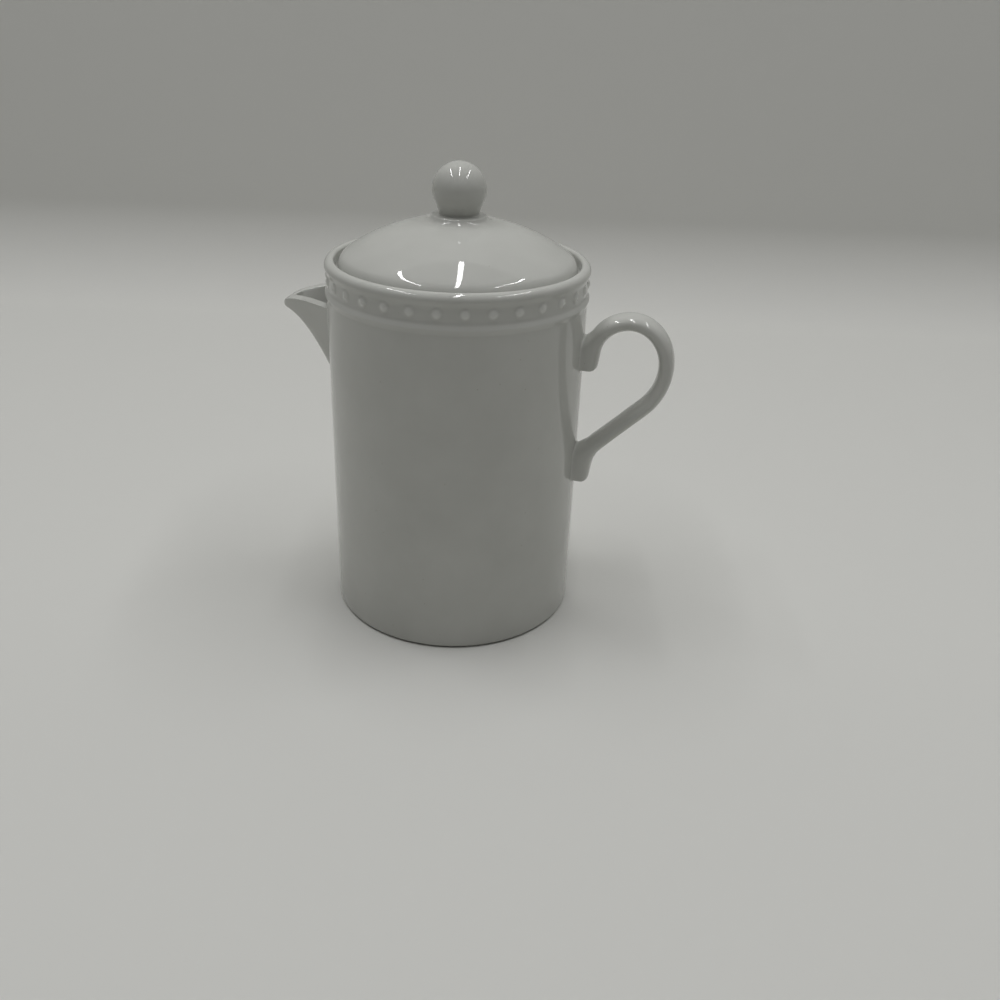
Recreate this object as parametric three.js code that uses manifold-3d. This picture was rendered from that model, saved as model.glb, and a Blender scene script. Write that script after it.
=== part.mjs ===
// Lidded porcelain creamer: a straight pot with a pearl band under its lip, a wide pouring beak,
// a strap handle, and an inset domed lid with a ball knob. The five pieces are formed apart and
// luted together with slip before firing, and the lid stays loose.
// Millimetres, +Z up. The handle points to +X and the beak to -X.

import * as THREE from 'three';
import { mergeVertices } from 'three/addons/utils/BufferGeometryUtils.js';
import Module from 'manifold-3d';

const wasm = await Module();
wasm.setup();

// Pot
const bodyRadius = 37; // outside of the straight wall
const wallThickness = 3;
const rimHeight = 107.4; // table to the top of the lip
const floorThickness = 3.5;
const floorFillet = 6; // inside, between wall and floor
const footRingWidth = 4; // the flat ring that the pot stands on
const footRecess = 1.8; // hollow inside the foot ring
const baseRound = 1.5; // outside edge at the table

// Lip and pearl band, with heights measured down from the top of the lip
const lipThickness = 2.8;
const lipProud = 0.4; // outside the wall
const lipDepth = 2.2;
const lipRound = 1.8;
const lipInnerRound = 0.8;
const bandRecess = 0.3; // inside the wall
const pearlDrop = 5.3;
const pearlCount = 32;
const pearlDiameter = 2.6;
const pearlProud = 0.6;
const ridgeDrop = 9.3;
const ridgeWidth = 2.2;
const ridgeProud = 0.45;
const ridgeCrest = 0.9; // width of its rounded top

// Gallery that carries the lid
const seatDrop = 3.2; // top of the lip down to the ledge
const seatWidth = 3.3;
const seatThickness = 3;
const seatSlope = 4; // underside runs out to the wall over this height

// Lid
const lidClearance = 0.9; // between the lid's edge and the lip
const lidEdge = 2.8; // height of the edge
const lidEdgeRound = 1.4;
const lidThickness = 3;
const domeRise = 10.6; // top of the edge up to the collar
const collarRadius = 9.1;
const collarTopRadius = 7.5;
const collarHeight = 1.3;
const flangeClearance = 0.7;
const flangeThickness = 2.8;
const flangeDepth = 9;
const flangeRound = 0.7;

// Knob
const ballRadius = 7.35;
const neckRadius = 5.4;
const neckHeight = 1.6;

// Beak, with heights measured down from the top of the lip
const spoutReach = 15.9; // tip outside the wall
const spoutWall = 2.7;
const spoutMouthDrop = 13.5; // where the beak's edge meets the wall
const spoutTipDrop = 16.3; // the edge dips to the tip
const spoutDipPower = 3; // the higher, the nearer the tip it dips
const spoutNose = 1.9; // height of the blunt nose under the tip
const noseRound = 0.6;
const spoutToeDrop = 42.4; // where the keel leaves the wall
const spoutToeLean = 19.5; // degrees off upright at the toe
const spoutTipLean = 70; // degrees off upright at the nose
const spoutSideAngle = 30.6; // degrees between a flat side and the beak's own plane
const spoutTipRound = 4.9; // radius of the tip, seen from above
const keelBlunt = 0.05; // the keel stays this far inside the fold of the two sides

// Pour hole behind the beak, a triangle on its point
const holeTopDrop = 15.4;
const holeHeight = 16;
const holeWidth = 20;
const holeRound = 2.5;

// Handle
const handleDrop = 11.4; // top of the lip down to the top of the loop
const strapThickness = 4.5;
const strapWidth = 9;
const strapSquareness = 0.85; // 1 is an oval, and less is nearer a rounded bar
const footThickness = 5; // the strap grows to this towards both feet
const footWidth = 11.6;
const footFlare = 22; // length over which it grows
const footTaper = 0.5; // taken off the outside at a foot's end
const taperLength = 6;
const footEndRound = 1;
const footNoseRound = 2; // the same, on the outside
const footStandoff = 2.6; // wall to the centre line along a foot
const rootFill = 2.4; // clay behind a foot, up to the wall
const rootExtraWidth = 2.4; // the same clay spreads sideways on the wall
const rootLength = 7;
const rootFlare = 5; // length over which that clay runs out
const loopRadius = 10.65; // centre line, inner half of the loop
const loopDrop = 12.2; // height of the outer half of the loop
const sweepRadius = 18.1; // centre line down the outside
const sweepAngle = 45.6; // degrees the strap leans back to the pot
const bendRadius = 12.5; // centre line into the lower foot
const upperFootLength = 4;
const lowerFootLength = 3.6;

// Fits
const luteGap = 0.3; // slip joint between two pieces
const seatGap = 0.3; // lid over its ledge

// Facets
const potFacets = 64;
const pearlFacets = 10;
const pearlRows = 6;
const lidFacets = 48;
const domeSteps = 7;
const domeUnderSteps = 4;
const knobFacets = 32;
const ballSteps = 12;
const spoutLevels = 9;
const spoutRoundSteps = 9;
const spoutEdgeSteps = 8;
const noseSteps = 3;
const strapSides = 14;
const strapSteps = 48;
const filletSteps = 4;
const smallFilletSteps = 2;

// Heights and radii that several pieces share
const lipRadius = bodyRadius + lipProud;
const mouthRadius = lipRadius - lipThickness;
const innerRadius = bodyRadius - wallThickness;
const bandRadius = bodyRadius - bandRecess;
const ridgeHeight = rimHeight - ridgeDrop;
const seatHeight = rimHeight - seatDrop;
const seatRadius = mouthRadius - seatWidth;
const collarTop = seatHeight + seatGap + lidEdge + domeRise + collarHeight;
const clear = 5; // cutters run this far past what they cut
const nearest = 1e-3; // points closer than this are one point
const smallFillet = 1.1; // fillets up to this get fewer facets

const degrees = THREE.MathUtils.degToRad;

// Outline through corners [x, y, fillet], each fillet drawn as an arc
function roundedOutline(corners, closed = false) {
  const at = (i) => new THREE.Vector2(...corners[(i + corners.length) % corners.length]);
  const points = corners.flatMap(([x, y, fillet], i) => {
    const isEnd = !closed && (i === 0 || i === corners.length - 1);
    if (!fillet || isEnd) return [new THREE.Vector2(x, y)];
    const corner = at(i);
    const back = at(i - 1).sub(corner).normalize();
    const ahead = at(i + 1).sub(corner).normalize();
    const halfAngle = Math.acos(THREE.MathUtils.clamp(back.dot(ahead), -1, 1)) / 2;
    const start = back.clone().multiplyScalar(fillet / Math.tan(halfAngle)).add(corner);
    const end = ahead.clone().multiplyScalar(fillet / Math.tan(halfAngle)).add(corner);
    const middle = back.clone().add(ahead).normalize();
    const centre = middle.multiplyScalar(fillet / Math.sin(halfAngle)).add(corner);
    const from = start.sub(centre).angle();
    const to = end.sub(centre).angle();
    const arc = new THREE.EllipseCurve(centre.x, centre.y, fillet, fillet, from, to, back.cross(ahead) > 0);
    return arc.getPoints(fillet > smallFillet ? filletSteps : smallFilletSteps);
  });
  return points.filter((point, i) => i === 0 || point.distanceTo(points[i - 1]) > nearest);
}

// Turn an outline of (radius, height) points about the pot's axis
function turned(points, facets) {
  return new THREE.LatheGeometry(points, facets).rotateX(Math.PI / 2);
}

// Skin over rings of the same number of points, closed at both ends
function lofted(rings) {
  const sides = rings[0].length;
  const points = [...rings.flat(), centreOf(rings[0]), centreOf(rings.at(-1))];
  const firstCentre = points.length - 2;
  const lastCentre = points.length - 1;
  const lastRing = (rings.length - 1) * sides;
  const faces = [];
  for (let k = 0; k < sides; k++) {
    const next = (k + 1) % sides;
    faces.push(firstCentre, next, k);
    faces.push(lastCentre, lastRing + k, lastRing + next);
    for (let i = 0; i < rings.length - 1; i++) {
      const low = i * sides;
      const high = low + sides;
      faces.push(low + k, low + next, high + next, low + k, high + next, high + k);
    }
  }
  const geometry = new THREE.BufferGeometry().setFromPoints(points);
  return geometry.setIndex(faces);
}

function centreOf(ring) {
  return ring.reduce((sum, point) => sum.add(point), new THREE.Vector3()).divideScalar(ring.length);
}

// Closed mesh to a solid for joining and cutting, and back
function solid(geometry) {
  const bare = geometry.clone();
  bare.deleteAttribute('normal');
  bare.deleteAttribute('uv');
  const merged = mergeVertices(bare, nearest);
  const positions = new Float32Array(merged.attributes.position.array);
  const triangles = [];
  const index = merged.index.array;
  for (let i = 0; i < index.length; i += 3) {
    const [a, b, c] = index.slice(i, i + 3);
    if (a !== b && b !== c && c !== a) triangles.push(a, b, c);
  }
  const triVerts = new Uint32Array(triangles);
  const mesh = new wasm.Mesh({ numProp: 3, vertProperties: positions, triVerts });
  return new wasm.Manifold(mesh);
}

function meshed(shape) {
  const { vertProperties, triVerts } = shape.getMesh();
  const geometry = new THREE.BufferGeometry();
  geometry.setAttribute('position', new THREE.BufferAttribute(new Float32Array(vertProperties), 3));
  geometry.setIndex(new THREE.BufferAttribute(new Uint32Array(triVerts), 1));
  geometry.computeVertexNormals();
  return geometry;
}

// Outside of the pot from the table to the lip, grown outwards to keep other pieces clear of it
function potOutline(grow) {
  const foot = bodyRadius - baseRound;
  const ridgeLow = ridgeHeight - ridgeWidth / 2;
  const ridgeHigh = ridgeHeight + ridgeWidth / 2;
  return [
    [foot + grow, 0, 0],
    [bodyRadius + grow, 0, baseRound],
    [bodyRadius + grow, ridgeLow, 0],
    [bodyRadius + ridgeProud + grow, ridgeHeight - ridgeCrest / 2, ridgeProud],
    [bodyRadius + ridgeProud + grow, ridgeHeight + ridgeCrest / 2, ridgeProud],
    [bandRadius + grow, ridgeHigh, 0],
    [bandRadius + grow, rimHeight - pearlDrop + pearlDiameter / 2, 0],
    [lipRadius + grow, rimHeight - lipDepth, 0],
  ];
}

function makeBody() {
  const floorTop = footRecess + floorThickness;
  const ringOuter = bodyRadius - baseRound;
  const ringInner = ringOuter - footRingWidth;
  const outline = roundedOutline([
    [0, footRecess, 0],
    [ringInner - footRecess, footRecess, 0],
    [ringInner, 0, 0],
    ...potOutline(0),
    [lipRadius, rimHeight, Math.min(lipRound, lipThickness - lipInnerRound)],
    [mouthRadius, rimHeight, lipInnerRound],
    [mouthRadius, seatHeight, 0],
    [seatRadius, seatHeight, 0],
    [seatRadius, seatHeight - seatThickness, 0],
    [innerRadius, seatHeight - seatThickness - seatSlope, 0],
    [innerRadius, floorTop, floorFillet],
    [0, floorTop, 0],
  ]);
  return meshed(addPearls(solid(turned(outline, potFacets))).subtract(solid(pourHole())));
}

// Shallow caps round the band, with the handle midway between two of them
function addPearls(pot) {
  const halfWidth = pearlDiameter / 2;
  const sphereRadius = (halfWidth ** 2 + pearlProud ** 2) / (2 * pearlProud);
  const pearl = new THREE.SphereGeometry(sphereRadius, pearlFacets, pearlRows);
  pearl.rotateZ(Math.PI / 2);
  pearl.translate(bandRadius + pearlProud - sphereRadius, 0, rimHeight - pearlDrop);
  for (let i = 0; i < pearlCount; i++) {
    const turn = ((i + 0.5) * 2 * Math.PI) / pearlCount;
    pot = pot.add(solid(pearl.clone().rotateZ(turn)));
  }
  return pot;
}

function pourHole() {
  const top = rimHeight - holeTopDrop;
  const corners = [
    [-holeWidth / 2, top, holeRound],
    [0, top - holeHeight, holeRound],
    [holeWidth / 2, top, holeRound],
  ];
  const shape = new THREE.Shape(roundedOutline(corners, true));
  const hole = new THREE.ExtrudeGeometry(shape, { depth: wallThickness + 2 * clear, bevelEnabled: false });
  const across = new THREE.Vector3(0, 1, 0);
  const up = new THREE.Vector3(0, 0, 1);
  const along = new THREE.Vector3(1, 0, 0);
  hole.applyMatrix4(new THREE.Matrix4().makeBasis(across, up, along));
  return hole.translate(-bodyRadius - clear, 0, 0);
}

// The pot's outside with room for a slip joint, to trim what is luted on
function wallTrim() {
  const outline = potOutline(luteGap);
  const top = outline.at(-1);
  const corners = [[0, 0, 0], ...outline, [top[0], rimHeight, 0], [0, rimHeight, 0]];
  return solid(turned(roundedOutline(corners), potFacets));
}

// Keel of the beak in the plane of the handle: out from its toe on the wall, then round the nose
function keelPoints() {
  const toe = new THREE.Vector2(bodyRadius, rimHeight - spoutToeDrop);
  const corner = new THREE.Vector2(bodyRadius + spoutReach, rimHeight - spoutTipDrop - spoutNose);
  const lean = degrees(spoutTipLean);
  const chin = new THREE.Vector2(Math.sin(lean), Math.cos(lean)).multiplyScalar(-noseRound).add(corner);
  const toeSlope = Math.tan(degrees(spoutToeLean));
  const tipSlope = Math.tan(lean);
  const kneeRise = (tipSlope * (chin.y - toe.y) - (chin.x - toe.x)) / (tipSlope - toeSlope);
  const knee = new THREE.Vector2(toe.x + kneeRise * toeSlope, toe.y + kneeRise);
  const under = new THREE.QuadraticBezierCurve(toe, knee, chin).getPoints(spoutLevels);
  const noseTop = new THREE.Vector2(corner.x, corner.y + noseRound);
  const nose = new THREE.QuadraticBezierCurve(chin, corner, noseTop).getPoints(noseSteps).slice(1);
  return [...under, ...nose, new THREE.Vector2(corner.x, rimHeight - spoutMouthDrop + clear)];
}

// Level section of the beak: a round keel between two flat sides, which run back into the pot and
// open out evenly from the toe to the tip. The same section set inwards is the inside of the beak.
function spoutSection(keel, inwards) {
  const halfAngle = degrees(spoutSideAngle);
  const slant = Math.sin(halfAngle);
  const toeSide = bodyRadius * slant; // distances from the pot's axis to a side
  const tipSide = (bodyRadius + spoutReach) * slant + spoutTipRound * (1 - slant);
  const rise = (keel.y - rimHeight + spoutToeDrop) / (spoutToeDrop - spoutTipDrop);
  const fold = (THREE.MathUtils.lerp(toeSide, tipSide, rise) - inwards) / slant; // sides would meet here
  const reach = Math.min((keel.x * (bodyRadius - inwards)) / bodyRadius, fold - keelBlunt);
  const round = ((fold - reach) * slant) / (1 - slant);
  const ring = [];
  for (let i = -spoutRoundSteps; i <= spoutRoundSteps; i++) {
    const angle = ((Math.PI / 2 - halfAngle) * i) / spoutRoundSteps;
    ring.push([reach - round + round * Math.cos(angle), round * Math.sin(angle)]);
  }
  const back = innerRadius - clear;
  const halfWidth = (fold - back) * Math.tan(halfAngle);
  ring.push([back, halfWidth], [back, -halfWidth]);
  return ring.map(([x, y]) => new THREE.Vector3(-x, -y, keel.y));
}

function makeSpout(trim) {
  const keel = keelPoints();
  const shell = solid(lofted(keel.map((point) => spoutSection(point, 0))));
  const channel = solid(lofted(keel.map((point) => spoutSection(point, spoutWall))));
  return meshed(shell.subtract(channel).subtract(trim).subtract(solid(aboveSpout())));
}

// Everything over the beak's edge, which runs out level from the wall and then dips to the tip
function aboveSpout() {
  const dip = spoutTipDrop - spoutMouthDrop;
  const edgeHeight = (share) => rimHeight - spoutMouthDrop - dip * share ** spoutDipPower;
  const near = bodyRadius - wallThickness - clear;
  const far = bodyRadius + spoutReach + clear;
  const side = new THREE.Shape();
  side.moveTo(-near, rimHeight);
  side.lineTo(-near, edgeHeight(0));
  for (let i = 0; i <= spoutEdgeSteps; i++) {
    const share = i / spoutEdgeSteps;
    side.lineTo(-bodyRadius - share * spoutReach, edgeHeight(share));
  }
  side.lineTo(-far, edgeHeight(1));
  side.lineTo(-far, rimHeight);
  const block = new THREE.ExtrudeGeometry(side, { depth: 2 * bodyRadius, bevelEnabled: false });
  return block.rotateX(Math.PI / 2).translate(0, bodyRadius, 0);
}

// Centre line of the strap in the plane of the beak: up from the upper foot, over the loop,
// down the outside, back to the pot and down into the lower foot
function strapLine() {
  const footLine = bodyRadius + footStandoff;
  const loopX = footLine + loopRadius;
  const loopTop = rimHeight - handleDrop - strapThickness / 2;
  const upperFoot = loopTop - loopRadius;
  const sweepTop = loopTop - loopDrop;
  const lean = degrees(sweepAngle);
  const sweepX = loopX + loopRadius - sweepRadius;
  const runTopX = sweepX + sweepRadius * Math.cos(lean);
  const runTopZ = sweepTop - sweepRadius * Math.sin(lean);
  const runBottomX = footLine + bendRadius * (1 - Math.cos(lean));
  const runLength = (runTopX - runBottomX) / Math.sin(lean);
  const bendHeight = runTopZ - runLength * Math.cos(lean) - bendRadius * Math.sin(lean);
  const line = new THREE.Path();
  line.moveTo(footLine, upperFoot - upperFootLength);
  line.lineTo(footLine, upperFoot);
  line.absarc(loopX, upperFoot, loopRadius, Math.PI, Math.PI / 2, true);
  line.absellipse(loopX, sweepTop, loopRadius, loopDrop, Math.PI / 2, 0, true);
  line.absarc(sweepX, sweepTop, sweepRadius, 0, -lean, true);
  line.absarc(footLine + bendRadius, bendHeight, bendRadius, Math.PI - lean, Math.PI, false);
  line.lineTo(footLine, bendHeight - lowerFootLength);
  return line;
}

function makeHandle(trim) {
  const line = strapLine();
  const length = line.getLength();
  const endSteps = [0, footEndRound / 4, footEndRound];
  const evenly = (i) => THREE.MathUtils.lerp(2 * footEndRound, length - 2 * footEndRound, i / strapSteps);
  const places = [
    ...endSteps,
    ...Array.from({ length: strapSteps + 1 }, (_, i) => evenly(i)),
    ...endSteps.map((step) => length - step).reverse(),
  ];
  const rings = places.map((place) => {
    const share = place / length;
    const toEnd = Math.min(place, length - place);
    const wallSide = share < 0.5 ? -1 : 1; // the line runs up at one foot and down at the other
    return strapSection(line.getPoint(share), line.getTangent(share), toEnd, wallSide);
  });
  return meshed(solid(lofted(rings)).subtract(trim));
}

// Section of the strap: a flat oval, which towards an end turns into a foot that is wider,
// thinner outside and filled up to the wall behind
function strapSection(point, ahead, toEnd, wallSide) {
  const foot = 1 - THREE.MathUtils.smoothstep(toEnd, 0, footFlare);
  const taper = 1 - THREE.MathUtils.smoothstep(toEnd, 0, taperLength);
  const root = 1 - THREE.MathUtils.smoothstep(toEnd, rootLength, rootLength + rootFlare);
  const roundOff = (radius) => radius - Math.sqrt(radius ** 2 - Math.max(radius - toEnd, 0) ** 2);
  const halfThick = THREE.MathUtils.lerp(strapThickness, footThickness, foot) / 2;
  const front = halfThick - footTaper * taper - roundOff(footNoseRound);
  const back = halfThick + rootFill * root - roundOff(footEndRound);
  const halfWide = THREE.MathUtils.lerp(strapWidth, footWidth, foot) / 2 - roundOff(footEndRound);
  const bulge = (value) => Math.sign(value) * Math.abs(value) ** strapSquareness;
  const ring = [];
  for (let k = 0; k < strapSides; k++) {
    const angle = (2 * Math.PI * k) / strapSides;
    const side = bulge(Math.cos(angle));
    const offset = side * (side * wallSide > 0 ? back : front);
    const spread = rootExtraWidth * root * (Math.max(offset * wallSide, 0) / footStandoff) ** 2;
    const across = (halfWide + spread) * bulge(Math.sin(angle));
    ring.push(new THREE.Vector3(point.x + offset * ahead.y, across, point.y - offset * ahead.x));
  }
  return ring;
}

// Dome of the lid: a sphere through the top of its edge and the foot of its collar
function domeHeight(radius, inwards) {
  const edgeTop = seatHeight + seatGap + lidEdge;
  const edgeRadius = mouthRadius - lidClearance;
  const spread = (edgeRadius ** 2 - collarRadius ** 2 - domeRise ** 2) / (2 * domeRise);
  const sphereRadius = Math.hypot(edgeRadius, spread);
  return edgeTop - spread + Math.sqrt((sphereRadius - inwards) ** 2 - radius ** 2);
}

function domeArc(from, to, inwards, steps) {
  const corners = [];
  for (let i = 0; i <= steps; i++) {
    const radius = THREE.MathUtils.lerp(from, to, i / steps);
    corners.push([radius, domeHeight(radius, inwards), 0]);
  }
  return corners;
}

function makeLid() {
  const edgeRadius = mouthRadius - lidClearance;
  const underside = seatHeight + seatGap;
  const flangeOuter = seatRadius - flangeClearance;
  const flangeInner = flangeOuter - flangeThickness;
  const flangeEnd = underside - flangeDepth;
  const edgeTop = underside + lidEdge;
  const edgeRound = Math.min(lidEdgeRound, lidEdge / 2);
  const outline = roundedOutline([
    ...domeArc(0, flangeInner, lidThickness, domeUnderSteps),
    [flangeInner, flangeEnd, flangeRound],
    [flangeOuter, flangeEnd, flangeRound],
    [flangeOuter, underside, 0],
    [edgeRadius, underside, 0],
    [edgeRadius, edgeTop, edgeRound],
    ...domeArc(edgeRadius - 2 * edgeRound, collarRadius, 0, domeSteps),
    [collarTopRadius + (collarRadius - collarTopRadius) / 4, collarTop - collarHeight / 2, 0],
    [collarTopRadius, collarTop, 0],
    [0, collarTop, 0],
  ]);
  return turned(outline, lidFacets);
}

function makeKnob() {
  const base = collarTop + luteGap;
  const ballCentre = base + neckHeight + Math.sqrt(ballRadius ** 2 - neckRadius ** 2);
  const neckAngle = -Math.acos(neckRadius / ballRadius);
  const ball = new THREE.EllipseCurve(0, ballCentre, ballRadius, ballRadius, neckAngle, Math.PI / 2);
  const foot = [new THREE.Vector2(0, base), new THREE.Vector2(neckRadius, base)];
  const outline = [...foot, ...ball.getPoints(ballSteps)];
  outline.at(-1).x = 0; // the arc ends on the axis
  return turned(outline, knobFacets);
}

function piece(name, geometry, material) {
  const mesh = new THREE.Mesh(geometry, material);
  mesh.name = name;
  return mesh;
}

const potGlaze = () => new THREE.MeshStandardMaterial({ color: 0xe6e6e1, roughness: 0.12, metalness: 0 });

const trim = wallTrim();
const pot = new THREE.Group();
pot.add(piece('body', makeBody(), potGlaze()));
pot.add(piece('spout', makeSpout(trim), potGlaze()));
pot.add(piece('handle', makeHandle(trim), potGlaze()));

const lid = new THREE.Group();
lid.add(piece('lid', makeLid(), potGlaze()));
lid.add(piece('lid_knob', makeKnob(), potGlaze()));

// The origin is on the table, midway between the tip of the beak and the back of the handle
const handleReach = footStandoff + 2 * loopRadius + strapThickness / 2;
const creamer = new THREE.Group();
creamer.add(pot, lid);
creamer.position.x = (spoutReach - handleReach) / 2;

export default creamer;
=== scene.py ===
# %% [markdown]
# # A lidded porcelain creamer
# A straight white pot with a band of pearls under its lip, a pouring beak, a loop handle, and a loose
# lid with a ball knob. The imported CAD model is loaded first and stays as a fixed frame: it gives the
# places, the sizes and the two bodies, the pot and the lid. On the real pot the beak, the handle and
# the knob are stuck on with slip, a liquid clay, and the glaze runs over the joints. So each CAD node
# is stood for by a smooth piece, in which the joint is run out into a fillet.

# %% Load the frame
import math

import bmesh
import bpy
from mathutils import Matrix, Vector


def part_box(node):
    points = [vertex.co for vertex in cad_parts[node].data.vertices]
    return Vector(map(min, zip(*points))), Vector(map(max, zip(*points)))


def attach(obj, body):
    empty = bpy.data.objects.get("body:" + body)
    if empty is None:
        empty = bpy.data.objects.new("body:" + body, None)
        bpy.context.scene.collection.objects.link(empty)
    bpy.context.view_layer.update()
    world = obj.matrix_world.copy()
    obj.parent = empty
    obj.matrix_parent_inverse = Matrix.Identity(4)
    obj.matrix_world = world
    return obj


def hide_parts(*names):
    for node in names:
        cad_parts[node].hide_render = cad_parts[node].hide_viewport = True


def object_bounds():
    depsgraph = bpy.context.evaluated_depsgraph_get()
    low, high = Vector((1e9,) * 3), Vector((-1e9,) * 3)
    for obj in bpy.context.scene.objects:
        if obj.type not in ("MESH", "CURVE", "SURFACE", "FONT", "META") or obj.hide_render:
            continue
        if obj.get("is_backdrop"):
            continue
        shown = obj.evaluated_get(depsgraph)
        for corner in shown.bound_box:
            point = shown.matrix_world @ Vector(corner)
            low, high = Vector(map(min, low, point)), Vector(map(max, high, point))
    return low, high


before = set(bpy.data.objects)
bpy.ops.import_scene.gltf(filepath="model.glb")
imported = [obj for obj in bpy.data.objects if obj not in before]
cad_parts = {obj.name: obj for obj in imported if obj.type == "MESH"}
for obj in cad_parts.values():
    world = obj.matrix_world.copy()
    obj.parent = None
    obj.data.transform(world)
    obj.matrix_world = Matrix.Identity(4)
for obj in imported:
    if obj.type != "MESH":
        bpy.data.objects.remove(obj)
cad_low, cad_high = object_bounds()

# %% [markdown]
# ## Sizes
# Everything is turned about the pot's axis, which the lid's box gives, because the lid is round and
# sits in the middle of the pot. Sizes are written in millimetres, as on a potter's drawing, and turned
# into metres where a point is placed.

# %% The pot's axis and a point beside it
MM = 0.001
lid_low, lid_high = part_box("lid")
body_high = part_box("body")[1]
AXIS_X = (lid_low.x + lid_high.x) / 2
RIM = body_high.z / MM
WALL = 37.0
print(f"pot axis at x = {AXIS_X / MM:.3f} mm, rim {RIM:.1f} mm above the table")


def spot(radius, height):
    """The point at a radius and a height, on the handle's side of the pot."""
    return Vector((AXIS_X + radius * MM, 0, height * MM))


# %% [markdown]
# ## Drawing and turning an outline
# A round pot is quickest as half a cross-section, turned about the axis. The outline starts as a plane
# that is merged to one point. That point is extruded from corner to corner, and a vertex bevel rounds
# the corners that have a fillet. A lathe would do it with a profile gauge: this is the same gauge.

# %% Helpers for an outline
def only(piece):
    """Select one object alone and make it the active one."""
    bpy.ops.object.select_all(action="DESELECT")
    piece.select_set(True)
    bpy.context.view_layer.objects.active = piece


def select_at(piece, places, within=0.001 * MM):
    """In edit mode, select the points of a piece that lie at the given places."""
    mesh = bmesh.from_edit_mesh(piece.data)
    for point in mesh.verts:
        point.select = any((point.co - place).length < within for place in places)
    mesh.select_flush_mode()
    bmesh.update_edit_mesh(piece.data)


def select_edges(piece, wanted):
    """In edit mode, select the edges for which wanted(start, end) is true, and nothing else."""
    bpy.ops.mesh.select_all(action="DESELECT")
    mesh = bmesh.from_edit_mesh(piece.data)
    for edge in mesh.edges:
        if wanted(*(point.co for point in edge.verts)):
            edge.select_set(True)
    bmesh.update_edit_mesh(piece.data)


SMALL_FILLET = 0.45


def round_corner(line, before, corner, after, fillet):
    """Bevel one point of a line, so that an arc of that radius touches both of its sides."""
    angle = (before - corner).angle(after - corner)
    select_at(line, [corner])
    run = fillet * MM / math.tan(angle / 2)
    segments = 6 if fillet > SMALL_FILLET else 4
    bpy.ops.mesh.bevel(offset=run, segments=segments, affect="VERTICES")


def draw_outline(name, corners):
    """Extrude one point through corners of (radius, height, fillet) and round those with a fillet."""
    places = [spot(radius, height) for radius, height, _ in corners]
    bpy.ops.object.select_all(action="DESELECT")
    bpy.ops.mesh.primitive_plane_add(size=MM, location=places[0])
    line = bpy.context.object
    line.name = name
    bpy.ops.object.transform_apply(location=True)
    bpy.ops.object.mode_set(mode="EDIT")
    bpy.ops.mesh.select_all(action="SELECT")
    bpy.ops.mesh.merge(type="CENTER")
    for here, there in zip(places, places[1:]):
        bpy.ops.mesh.extrude_region_move(TRANSFORM_OT_translate={"value": there - here})
    for i, (_, _, fillet) in enumerate(corners):
        if fillet:
            round_corner(line, places[i - 1], places[i], places[i + 1], fillet)
    bpy.ops.object.mode_set(mode="OBJECT")
    return line


def turn_outline(piece, steps, angle=2 * math.pi):
    """Spin everything about the pot's axis."""
    only(piece)
    bpy.ops.object.mode_set(mode="EDIT")
    bpy.ops.mesh.select_all(action="SELECT")
    bpy.ops.mesh.spin(steps=steps, angle=angle, center=(AXIS_X, 0, 0), axis=(0, 0, 1))
    bpy.ops.object.mode_set(mode="OBJECT")


SEAM = 0.002 * MM


def close_seams(piece):
    """Merge the points where a spin meets itself, then point all faces outwards."""
    only(piece)
    bpy.ops.object.mode_set(mode="EDIT")
    bpy.ops.mesh.select_all(action="SELECT")
    bpy.ops.mesh.remove_doubles(threshold=SEAM)
    bpy.ops.mesh.normals_make_consistent(inside=False)
    bpy.ops.object.mode_set(mode="OBJECT")


# %% [markdown]
# ## The pot
# The outline runs from the middle of the underside over the foot ring, up the straight wall, over the
# ridge, the band and the lip, down past the ledge that carries the lid, and along the inside to the
# middle of the floor. The lip leans out of the band in one soft S, as the glaze leaves it. Each corner
# is a radius, a height and a fillet.

# %% The pot's outline
FOOT_RECESS = 1.8
FOOT_INSIDE = 31.5
FOOT_SLOPE = 1.8
FLOOR_TOP = 5.3
INSIDE = 34.0
MOUTH = 34.6
LIP = 37.4
LIP_LOW = RIM - 2.1
BAND = 36.7
BAND_TOP = RIM - 3.9
RIDGE = RIM - 9.35
RIDGE_PROUD = 0.5
RIDGE_FOOT = 1.5
RIDGE_BACK = 1.6
SEAT = RIM - 3.2
SEAT_INSIDE = 31.3
SEAT_THICK = 3
SEAT_FOOT = 7

pot = draw_outline("pot_body", [
    (0, FOOT_RECESS, 0),
    (FOOT_INSIDE - FOOT_SLOPE, FOOT_RECESS, 0.8),
    (FOOT_INSIDE, 0, 0.4),
    (WALL, 0, 1.5),
    (WALL, RIDGE - RIDGE_FOOT, 2),
    (WALL + RIDGE_PROUD, RIDGE, 0.8),
    (BAND, RIDGE + RIDGE_BACK, 2),
    (BAND, BAND_TOP, 4),
    (LIP, LIP_LOW, 1.2),
    (LIP, RIM, 1.85),
    (MOUTH, RIM, 0.85),
    (MOUTH, SEAT, 0.5),
    (SEAT_INSIDE, SEAT, 0.6),
    (SEAT_INSIDE, SEAT - SEAT_THICK, 0.6),
    (INSIDE, SEAT - SEAT_FOOT, 2),
    (INSIDE, FLOOR_TOP, 6),
    (0, FLOOR_TOP, 0),
])
print("points on the pot's outline:", len(pot.data.vertices))

# %% [markdown]
# ## The pearls
# A pearl is a soft bump under the glaze. It could be a ball sunk into the wall, but that leaves a hard
# line round its foot. Here only a narrow slice of the pot is turned first, the share of one pearl, and
# the point in the middle of its band is pulled out with proportional editing, so the wall follows in a
# soft dome. The finished slice is then copied round the axis. A spin about +Z turns clockwise, seen from
# above, so the middle of the slice is at half its angle below zero.

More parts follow.
